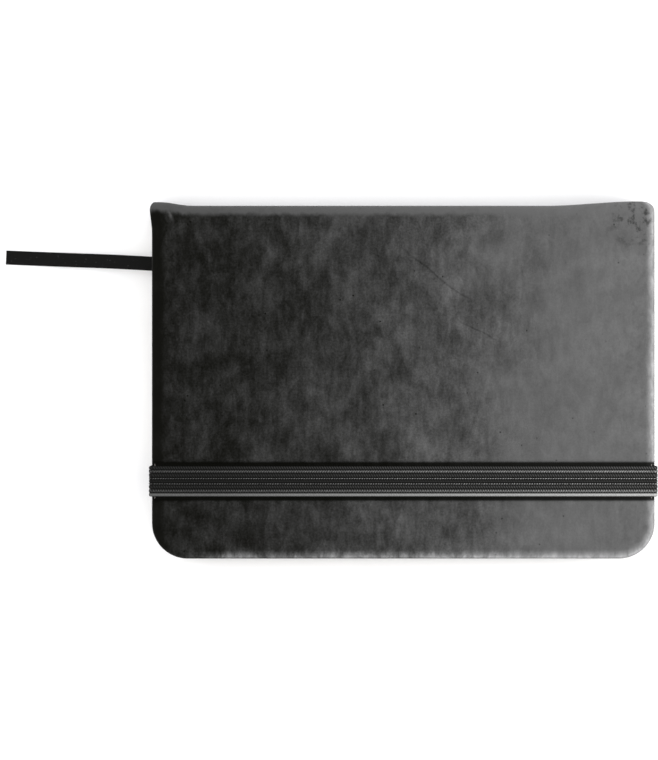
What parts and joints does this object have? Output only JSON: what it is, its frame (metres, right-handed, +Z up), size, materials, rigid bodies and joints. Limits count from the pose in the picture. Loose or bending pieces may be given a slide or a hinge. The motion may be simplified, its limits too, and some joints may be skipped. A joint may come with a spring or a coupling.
{
  "type": "pocket notebook",
  "caption": "Hardcover pocket notebook in dark leatherette with rounded fore-edge corners, a woven elastic closure and a ribbon marker, sewn pages that open.",
  "frame": {"origin": "middle of the footprint of the closed notebook, on the surface it lies on; the free ribbon end isn't counted", "axes": "+X along the spine towards the head, +Y from the fore edge towards the spine, +Z up through the thickness, front cover on top"},
  "size_m": [0.1937, 0.104, 0.0152],
  "materials": {
    "leatherette": "matte",
    "greyboard": "matte",
    "spine_card": "matte",
    "endpaper": "matte",
    "page_paper": "matte",
    "elastic_webbing": "matte",
    "ribbon_satin": "satin",
    "lining_cloth": "matte",
    "headband_cloth": "satin",
    "linen_thread": "matte"
  },
  "bodies": {
    "back_cover": {"back_cover_leather": "leatherette", "back_cover_board": "greyboard", "back_pastedown": "endpaper", "back_flyleaf": "endpaper", "signature_07": "page_paper", "signature_08": "page_paper", "signature_09": "page_paper", "signature_10": "page_paper", "signature_11": "page_paper", "signature_12": "page_paper", "elastic_anchor_head": "elastic_webbing", "elastic_anchor_tail": "elastic_webbing", "ribbon_inner": "ribbon_satin", "ribbon_tail": "ribbon_satin"},
    "spine": {"spine_leather": "leatherette", "spine_strip": "spine_card", "spine_lining": "lining_cloth", "head_band": "headband_cloth", "tail_band": "headband_cloth", "sewing_thread": "linen_thread", "ribbon_root": "ribbon_satin"},
    "front_block": {"front_flyleaf": "endpaper", "signature_01": "page_paper", "signature_02": "page_paper", "signature_03": "page_paper", "signature_04": "page_paper", "signature_05": "page_paper", "signature_06": "page_paper"},
    "front_cover": {"front_cover_leather": "leatherette", "front_cover_board": "greyboard", "front_pastedown": "endpaper"},
    "elastic": {"elastic_band": "elastic_webbing"}
  },
  "joints": [
    {"name": "spine_fold", "type": "hinge", "parent": "back_cover", "child": "spine", "pos_m": [0, 0.052, 0], "axis": [-1, 0, 0], "range_deg": [0, 90]},
    {"name": "page_opening", "type": "hinge", "parent": "spine", "child": "front_block", "pos_m": [0, 0.052, 0.01424], "axis": [-1, 0, 0], "range_deg": [0, 90]},
    {"name": "front_cover_hinge", "type": "hinge", "parent": "front_block", "child": "front_cover", "pos_m": [0, 0.052, 0.01454], "axis": [-1, 0, 0], "range_deg": [0, 179]},
    {"name": "elastic_swing", "type": "hinge", "parent": "back_cover", "child": "elastic", "pos_m": [0, -0.0292, 0.00162], "axis": [1, 0, 0], "range_deg": [0, 180], "deforming": ["elastic_band"]}
  ],
  "couplings": [
    {"joint": "spine_fold", "follows": "page_opening", "ratio": 1},
    {"joint": "elastic_swing", "follows": "page_opening", "ratio": 2}
  ]
}
